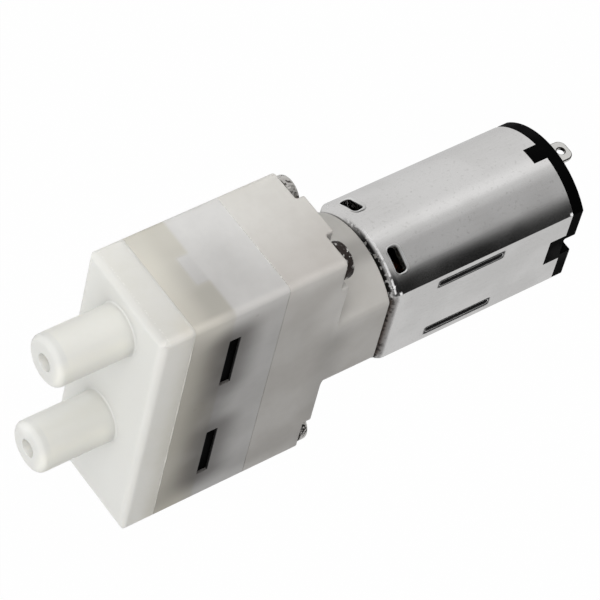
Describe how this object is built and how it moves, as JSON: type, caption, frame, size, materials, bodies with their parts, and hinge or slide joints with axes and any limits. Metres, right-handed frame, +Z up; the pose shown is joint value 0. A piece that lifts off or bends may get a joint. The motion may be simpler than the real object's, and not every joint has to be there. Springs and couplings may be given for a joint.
{
  "type": "diaphragm pump",
  "caption": "Miniature diaphragm air pump: rectangular moulded pump block with plain hose nozzles side by side, driven by a flat-sided round can motor.",
  "frame": {"origin": "centre of the bounding box, at the lowest face, which is the motor can's lower flat", "axes": "+X along the motor axis towards the nozzles' tips, +Y along the block's width towards the outlet nozzle's side, +Z up through the thin direction"},
  "size_m": [0.0602, 0.0284, 0.0122],
  "materials": {
    "front_cover": "moulded, slightly translucent",
    "valve_plate": "moulded, slightly translucent",
    "inlet_valves": "matt",
    "outlet_valves": "matt",
    "diaphragm": "matt",
    "diaphragm_frame": "moulded",
    "crank_housing": "moulded",
    "housing_screws": "nickel plated",
    "motor_screws": "nickel plated",
    "motor_can": "bright nickel plated, drawn",
    "magnets": "sintered",
    "front_bearing": "sintered bronze",
    "rear_bearing": "sintered bronze",
    "end_cap": "moulded",
    "brushes": "pressed carbon",
    "terminals": "tinned brass",
    "motor_shaft": "ground",
    "armature_core": "stamped laminations",
    "windings": "enamelled copper",
    "commutator_core": "moulded",
    "commutator_segments": "copper",
    "thrust_washers": "moulded",
    "eccentric_wheel": "moulded",
    "eccentric_pin": "ground",
    "rocker": "moulded"
  },
  "bodies": {
    "pump": {"front_cover": "front_cover", "valve_plate": "valve_plate", "inlet_valves": "inlet_valves", "outlet_valves": "outlet_valves", "diaphragm": "diaphragm", "diaphragm_frame": "diaphragm_frame", "crank_housing": "crank_housing", "housing_screws": "housing_screws", "motor_screws": "motor_screws", "motor_can": "motor_can", "magnets": "magnets", "front_bearing": "front_bearing", "rear_bearing": "rear_bearing", "end_cap": "end_cap", "brushes": "brushes", "terminals": "terminals"},
    "rotor": {"motor_shaft": "motor_shaft", "armature_core": "armature_core", "windings": "windings", "commutator_core": "commutator_core", "commutator_segments": "commutator_segments", "thrust_washers": "thrust_washers", "eccentric_wheel": "eccentric_wheel", "eccentric_pin": "eccentric_pin"},
    "rocker": {"rocker": "rocker"}
  },
  "joints": [
    {"name": "motor_spin", "type": "hinge", "parent": "pump", "child": "rotor", "pos_m": [0, 0, 0.0061], "axis": [1, 0, 0], "continuous": true},
    {"name": "rocker_wobble", "type": "hinge", "parent": "rotor", "child": "rocker", "pos_m": [0.00915, 0, 0.0061], "axis": [0.9945, 0, -0.1045], "continuous": true, "deforming": ["diaphragm"]}
  ],
  "couplings": [
    {"joint": "rocker_wobble", "follows": "motor_spin", "ratio": -1}
  ]
}
